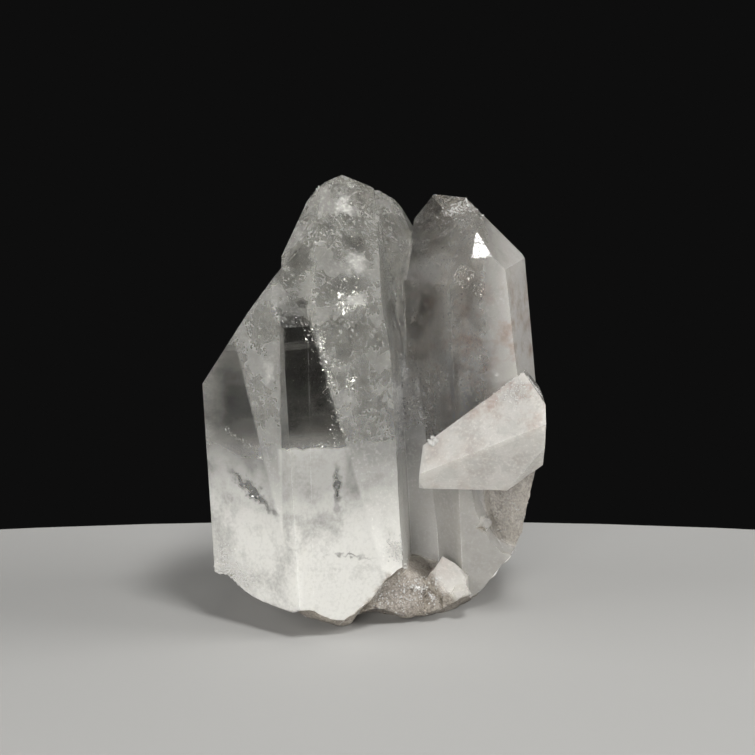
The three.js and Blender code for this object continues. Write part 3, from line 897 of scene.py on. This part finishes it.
class QUARTZ_PG_skin(bpy.types.PropertyGroup):
    """Sizes and colours of the crystals' skin"""

    wear: FloatProperty(
        name="Edge wear",
        description="Width that the edges are worn back",
        default=0.3 * MM,
        min=0,
        max=0.4 * MM,
        unit="LENGTH",
        precision=5,
    )
    unevenness: FloatProperty(
        name="Unevenness",
        description="Height of the slow waves in the grown faces",
        default=0.02 * MM,
        min=0,
        max=0.1 * MM,
        unit="LENGTH",
        precision=5,
    )
    breakage: FloatProperty(
        name="Breakage",
        description="Height of the lumps on the broken faces",
        default=0.35 * MM,
        min=0,
        max=0.6 * MM,
        unit="LENGTH",
        precision=5,
    )
    quartz_colour: FloatVectorProperty(
        name="Quartz",
        description="Colour of the milky quartz at the surface",
        default=linear(0xF6F4ED)[:3],
        min=0,
        max=1,
        subtype="COLOR",
    )
    break_colour: FloatVectorProperty(
        name="Break",
        description="Colour of the stained breaks",
        default=linear(0xB5ADA2)[:3],
        min=0,
        max=1,
        subtype="COLOR",
    )
    haze: FloatProperty(
        name="Haze",
        description="How often light scatters on a metre through the cloudy parts",
        default=48,
        min=0,
    )
    root_haze: FloatProperty(
        name="Root haze",
        description="How often light scatters on a metre through the top of the milky root",
        default=380,
        min=0,
    )


class QUARTZ_PG_inside(bpy.types.PropertyGroup):
    """Sizes of the cracks and the druse"""

    film_share: FloatProperty(
        name="Films",
        description="Share of the air films that the cracks hold",
        default=1,
        min=0,
        max=2,
        subtype="FACTOR",
    )
    film_spread: FloatProperty(
        name="Film spread",
        description="How far the films turn away from their crack",
        default=0.3,
        min=0,
        max=1,
    )
    druse_size: FloatProperty(
        name="Druse size",
        description="Size of the tiny crystals, as a share of their usual size",
        default=1,
        min=0.2,
        max=3,
        subtype="FACTOR",
    )
    seed: IntProperty(name="Seed", description="Changes the scatter of both", default=7, min=0)


class QUARTZ_PG_studio(bpy.types.PropertyGroup):
    """Sizes and colours of the studio"""

    camera_distance: FloatProperty(
        name="Camera",
        description="Distance of the camera",
        default=0.42,
        min=0.2,
        unit="LENGTH",
    )
    floor_radius: FloatProperty(
        name="Floor",
        description="Radius of the round board that the cluster stands on",
        default=0.5,
        min=0.12,
        unit="LENGTH",
    )
    light: FloatProperty(
        name="Light", description="Strength of all the lights", default=1, min=0
    )
    floor_colour: FloatVectorProperty(
        name="Floor colour",
        description="Colour of the board",
        default=linear(0xB6B5B2)[:3],
        min=0,
        max=1,
        subtype="COLOR",
    )
    backdrop: FloatVectorProperty(
        name="Backdrop",
        description="Colour of the dark surround",
        default=linear(0x0E0E0E)[:3],
        min=0,
        max=1,
        subtype="COLOR",
    )


class QUARTZ_OT_crystals(bpy.types.Operator):
    """Builds the skin of the crystals and the haze under it"""

    bl_idname = "quartz.crystals"
    bl_label = "Crystals"

    def execute(self, context):
        settings = context.scene.quartz_skin
        piece = finish_piece(skin_mesh(settings), "quartz_skin", grown_quartz(settings))
        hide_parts(NODE)
        return {"FINISHED"}


class QUARTZ_OT_cracks(bpy.types.Operator):
    """Builds the glinting cracks inside the crystals"""

    bl_idname = "quartz.cracks"
    bl_label = "Cracks"

    def execute(self, context):
        settings = context.scene.quartz_inside
        skin = packed_tree()
        draw = random.Random(settings.seed)
        bm = bmesh.new()
        for middle, one, other, thick, count, long in SHEETS:
            one, other = Vector(one), Vector(other)
            flat = one.cross(other).normalized()
            sheet = bmesh.new()
            for _ in range(round(count * settings.film_share)):
                u, v = draw.uniform(-1, 1), draw.uniform(-1, 1)
                size = long * draw.uniform(*FILM_LENGTHS) ** FILM_SHORTER
                spread = settings.film_spread
                tilt = Vector(draw.uniform(-spread, spread) for _ in range(3))
                place = Vector(middle) + one * u + other * v
                wave = math.sin(SHEET_WAVE * u) + draw.uniform(-SHEET_FUZZ, SHEET_FUZZ)
                place += flat * thick * wave
                if not is_inside(skin, place * MM, FILM_REACH * size + FILM_GAP):
                    continue
                way = glint_way(skin, place * MM) + tilt
                turn = way.to_track_quat("Z", "Y").to_matrix().to_4x4()
                spin = Matrix.Rotation(draw.uniform(0, math.tau), 4, "Z")
                width = size * draw.uniform(*FILM_WIDTHS)
                shape = Matrix.Diagonal((size, width, FILM_THICK, 1))
                move = Matrix.Translation(place * MM) @ turn @ spin @ shape
                bmesh.ops.create_icosphere(
                    sheet, subdivisions=1, radius=0.5 * MM, matrix=move
                )
            pour(bm, sheet)
        finish_piece(bm, "crack_films", silvered_crack())
        return {"FINISHED"}


class QUARTZ_OT_druse(bpy.types.Operator):
    """Builds the crusts of tiny crystals on the skin"""

    bl_idname = "quartz.druse"
    bl_label = "Druse"

    def execute(self, context):
        settings = context.scene.quartz_inside
        skin = packed_tree()
        draw = random.Random(settings.seed)
        bm = bmesh.new()
        for middle, radii, count, wide in CRUSTS:
            crust = bmesh.new()
            for _ in range(count):
                place = Vector(middle) + Vector(draw.gauss(0, DRUSE_STRAY) * r for r in radii)
                near, normal, _, _ = skin.find_nearest(place * MM)
                size = wide * settings.druse_size * draw.uniform(*DRUSE_WIDTHS) * MM
                lean = normal + Vector(draw.uniform(-DRUSE_LEAN, DRUSE_LEAN) for _ in range(3))
                turn = lean.to_track_quat("Z", "Y").to_matrix().to_4x4()
                spin = Matrix.Rotation(draw.uniform(0, math.tau), 4, "Z")
                tall = size * draw.uniform(*DRUSE_HEIGHTS)
                tall = Matrix.Diagonal((size, size, tall, 1))
                if near.z > DRUSE_CLEAR * size:
                    tiny_crystal(crust, Matrix.Translation(near) @ turn @ spin @ tall)
            pour(bm, crust)
        finish_piece(bm, "druse", drusy_quartz())
        return {"FINISHED"}


class QUARTZ_OT_studio(bpy.types.Operator):
    """Builds the floor, the lights and the camera"""

    bl_idname = "quartz.studio"
    bl_label = "Studio"

    def execute(self, context):
        settings = context.scene.quartz_studio
        scene = context.scene
        radius = settings.floor_radius
        bm = bmesh.new()
        bmesh.ops.create_cone(
            bm,
            cap_ends=True,
            segments=FLOOR_SIDES,
            radius1=radius,
            radius2=radius,
            depth=FLOOR_DEPTH,
        )
        move = (0, FLOOR_BEHIND - radius, -FLOOR_DEPTH / 2)
        bmesh.ops.translate(bm, verts=bm.verts, vec=move)
        mesh = bpy.data.meshes.new("floor")
        bm.to_mesh(mesh)
        bm.free()
        floor = bpy.data.objects.new("floor", mesh)
        scene.collection.objects.link(floor)
        # Smooth board without gloss, so that it gives the cluster only a soft shadow.
        material, tree = new_material("pale matt board")
        board = add_node(
            tree,
            "BsdfPrincipled",
            {"Base Color": [*settings.floor_colour, 1], "Roughness": 0.8},
        )
        add_node(tree, "OutputMaterial", {"Surface": board})
        mesh.materials.append(material)

        world = bpy.data.worlds.new("studio")
        world.use_nodes = True
        background = world.node_tree.nodes["Background"]
        background.inputs["Color"].default_value = [*settings.backdrop, 1]
        scene.world = world

        for name, (direction, distance, size, radiance) in LAMPS.items():
            softbox(name, direction, distance, size, radiance * settings.light)

        data = bpy.data.cameras.new("camera")
        camera = bpy.data.objects.new("camera", data)
        camera.location = TARGET + EYE_WAY * settings.camera_distance
        look_at(camera, TARGET)
        data.lens = FOCAL_PIXELS / PICTURE_SIDE * SENSOR
        data.sensor_width = SENSOR
        data.clip_start = NEAREST_SEEN
        data.clip_end = FARTHEST_SEEN
        scene.collection.objects.link(camera)
        scene.camera = camera

        scene.view_settings.view_transform = "Standard"
        scene.cycles.max_bounces = 12
        scene.cycles.transmission_bounces = 12
        scene.cycles.volume_bounces = 3
        scene.cycles.use_denoising = True
        return {"FINISHED"}


class QUARTZ_PT_sidebar(bpy.types.Panel):
    """Lists the cluster's settings and steps"""

    bl_idname = "QUARTZ_PT_sidebar"
    bl_label = "Quartz cluster"
    bl_space_type = "VIEW_3D"
    bl_region_type = "UI"
    bl_category = "Quartz"

    def draw(self, context):
        scene = context.scene
        for group, steps in (
            (scene.quartz_skin, ["quartz.crystals"]),
            (scene.quartz_inside, ["quartz.cracks", "quartz.druse"]),
            (scene.quartz_studio, ["quartz.studio"]),
        ):
            box = self.layout.box()
            for name in group.__annotations__:
                box.prop(group, name)
            for step in steps:
                box.operator(step)


GROUPS = {
    "quartz_skin": QUARTZ_PG_skin,
    "quartz_inside": QUARTZ_PG_inside,
    "quartz_studio": QUARTZ_PG_studio,
}
CLASSES = [
    *GROUPS.values(),
    QUARTZ_OT_crystals,
    QUARTZ_OT_cracks,
    QUARTZ_OT_druse,
    QUARTZ_OT_studio,
    QUARTZ_PT_sidebar,
]


def register():
    for each in CLASSES:
        bpy.utils.register_class(each)
    for name, group in GROUPS.items():
        setattr(bpy.types.Scene, name, PointerProperty(type=group))


def unregister():
    for name in GROUPS:
        delattr(bpy.types.Scene, name)
    for each in reversed(CLASSES):
        bpy.utils.unregister_class(each)


def main():
    """Builds the crystals, the cracks, the druse and the studio."""
    register()
    bpy.ops.quartz.crystals()
    bpy.ops.quartz.cracks()
    bpy.ops.quartz.druse()
    bpy.ops.quartz.studio()
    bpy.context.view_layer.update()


if __name__ == "__main__":
    main()
